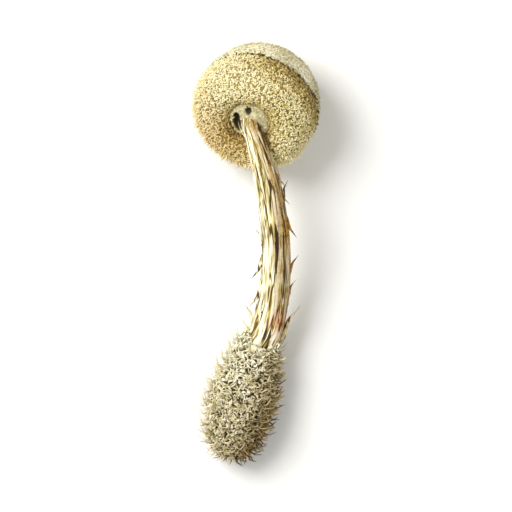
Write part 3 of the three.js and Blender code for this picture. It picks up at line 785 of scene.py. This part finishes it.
# the pit mask paints shade, dark grey brown, in the pits
setShares(collarBody.data, "pit", pitShadeMask)
finishPiece(collarBody, "stem", collarFlesh)
fuzzRoots = shadeRoots(rootRows(collar["fuzzLine"], collar["fuzz"]["spacing"], rng), collar["fuzzTone"], 0)
growTufts("collar_fuzz", curlTufts, fuzzRoots, collar["fuzz"], rng, layOnHead, "stem", capWool)
print("collar finished")


# stations along the foot are in mm from the collar, as the stem's are
foot = {"radii": [(87.2, 5.8), (88.6, 6.9), (92, 7.6), (97, 8.5), (102, 9.5), (108, 10.4), (114, 10.2),
                  (120, 9.2), (125, 7.4), (128.4, 4.8), (129.6, 1.5)],
        "sides": 96, "rings": 70, "seed": 77,
        # the bed's shares deep in the felt, dark there as painted shade between the tufts, and what is added
        # by the stem, where it thins to pale flesh
        "bed": {"tipShare": (0.1, 0.9), "tone": (0.3, 0.42), "warm": (0.2, -0.2)},
        "paleTo": 92.4, "paleOver": 4,
        "bareAt": 100, "bareWide": 42, "bareLong": 6.5, "bareRagged": (0.6, 1.2),
        "tufts": {"spacing": 0.9, "heading": (0, 360), "lift": (18, 66), "roll": (-95, 95),
                  "length": (2.3, 3.8), "thick": (0.62, 0.95), "sunk": 0.3},
        "skirtLine": [(6.0, 83.4), (6.6, 87.0), (7.5, 89.4)], "skirtTone": 0.75, "skirtShift": -4,
        "skirt": {"spacing": 1.25, "heading": (120, 240), "lift": (5, 40), "roll": (-95, 95),
                  "length": (1.4, 3.8), "thick": (0.5, 0.9), "sunk": 0.3},
        "hairs": {"spacing": 1.9, "heading": (-60, 60), "lift": (35, 80), "roll": (-80, 80),
                  "length": (4.4, 7.2), "thick": (0.6, 0.9), "sunk": 0.3},
        "shade": {"tone": 0.74, "rightPaintedShade": 0.34, "tipDark": 0.26,
                  "rightWarm": 0.7, "atStem": 0.4, "atTip": 0.6, "tipWarm": 0.25}}

footOutline = smoothLine([(radius, station) for station, radius in foot["radii"]], foot["rings"])[1]
footBody = turnedBody("foot_bed", footOutline, foot["sides"])
points = pointsOf(footBody)
setPoints(footBody, layOnLine(points))
nearStem = np.clip((foot["paleTo"] - points[:, 2]) / foot["paleOver"], 0, 1)
for name, (deep, added) in foot["bed"].items():
    setShares(footBody.data, name, deep + added * nearStem)
finishPiece(footBody, "woolly_foot", footWool)

rng = np.random.default_rng(foot["seed"])
commas = [modelTuft("foot comma", look) for look in (
    {"sides": 4, "radii": [0.11, 0.15, 0.155, 0.125, 0.08], "turns": [10, 30, 45, 52], "swing": 0.2},
    {"sides": 4, "radii": [0.12, 0.15, 0.145, 0.12, 0.075], "turns": [-18, 32, 50, 58], "swing": -0.25},
    {"sides": 4, "radii": [0.11, 0.14, 0.15, 0.12, 0.075], "turns": [18, -26, 54, 60], "swing": 0.35},
)]
hairs = [modelTuft("foot hair", look) for look in (
    {"sides": 4, "radii": [0.06, 0.06, 0.05, 0.03], "turns": [12, 26, 40], "swing": 0.2},
    {"sides": 4, "radii": [0.06, 0.055, 0.045, 0.03], "turns": [-16, 34, 48], "swing": -0.3},
)]


# paler on the left and darker on the right, painted shade on the side away from the key light; greener on the
# left, browner on the right and toward the tip, and darker toward the tip
def shadeFoot(roots):
    shade, right, low = foot["shade"], np.clip(np.cos(roots["angle"]), 0, 1), roots["share"]
    tone = shade["tone"] - shade["rightPaintedShade"] * right - shade["tipDark"] * low
    warm = shade["rightWarm"] * right * (shade["atStem"] + shade["atTip"] * low) + shade["tipWarm"] * low
    return shadeRoots(roots, tone, warm)


# a bare patch on the upper side, where the stem goes in: True where tufts grow
def tuftsGrow(roots, stationShift=0):
    aside = np.abs((np.degrees(roots["angle"]) + 180 - foot["bareAt"]) % 360 - 180)
    ragged = rng.uniform(*foot["bareRagged"], len(aside))
    return aside / foot["bareWide"] + (roots["station"] + stationShift) / foot["bareLong"] > ragged


tuftRoots = shadeFoot(rootRows(footOutline, foot["tufts"]["spacing"], rng))
growTufts("foot_tufts", commas, tuftRoots, foot["tufts"], rng, layOnLine, "woolly_foot", footWool,
          tuftsGrow(tuftRoots))
skirtRoots = shadeRoots(rootRows(foot["skirtLine"], foot["skirt"]["spacing"], rng), foot["skirtTone"], 0)
growTufts("foot_skirt", commas, skirtRoots, foot["skirt"], rng, layOnLine, "woolly_foot", footWool,
          tuftsGrow(skirtRoots, foot["skirtShift"]))
hairRoots = shadeFoot(rootRows(footOutline, foot["hairs"]["spacing"], rng))
growTufts("foot_hairs", hairs, hairRoots, foot["hairs"], rng, layOnLine, "woolly_foot", footWool)
print("foot finished")


# matt painted board, near white and even, so the pale mushroom reads against it
board = bpy.data.materials.new("matt white board")
board.use_nodes = True
board.node_tree.nodes["Principled BSDF"].inputs["Base Color"].default_value = toLinear("#F1F0EC")
board.node_tree.nodes["Principled BSDF"].inputs["Roughness"].default_value = 0.9

studio = {"floorSize": 6, "roomLight": 0.5, "aim": (0, 0, 0.015),
          "lamps": {"key": {"size": 0.5, "power": 9, "at": (-0.45, 0.3, 0.75)},
                    "fill": {"size": 0.8, "power": 2, "at": (0.6, -0.5, 0.8)}}}
deselectAll()
bpy.ops.mesh.primitive_plane_add(size=studio["floorSize"], location=(0, 0, 0))
floor = bpy.context.object
floor.name = "floor"
floor.data.materials.append(board)

world = bpy.data.worlds.new("soft room")
bpy.context.scene.world = world
world.use_nodes = True
world.node_tree.nodes["Background"].inputs["Color"].default_value = (1, 1, 1, 1)
world.node_tree.nodes["Background"].inputs["Strength"].default_value = studio["roomLight"]

for name, lamp in studio["lamps"].items():
    bpy.ops.object.light_add(type="AREA", location=lamp["at"])
    light = bpy.context.object
    light.name = name
    light.data.size = lamp["size"]
    light.data.energy = lamp["power"]
    light.rotation_euler = (Vector(studio["aim"]) - Vector(lamp["at"])).to_track_quat("-Z", "Y").to_euler()

# the camera looks straight down on the picked mushroom, as the picture does
camera = {"lens": 237.7, "sensor": 36, "height": 1.228, "over": (-0.00004, -0.0012), "seesTo": 20}
bpy.ops.object.camera_add(location=(*camera["over"], camera["height"]), rotation=(0, 0, 0))
bpy.context.object.data.lens = camera["lens"]
bpy.context.object.data.sensor_width = camera["sensor"]
bpy.context.object.data.clip_end = camera["seesTo"]
bpy.context.scene.camera = bpy.context.object
bpy.context.scene.view_settings.view_transform = "Standard"
print("studio set")
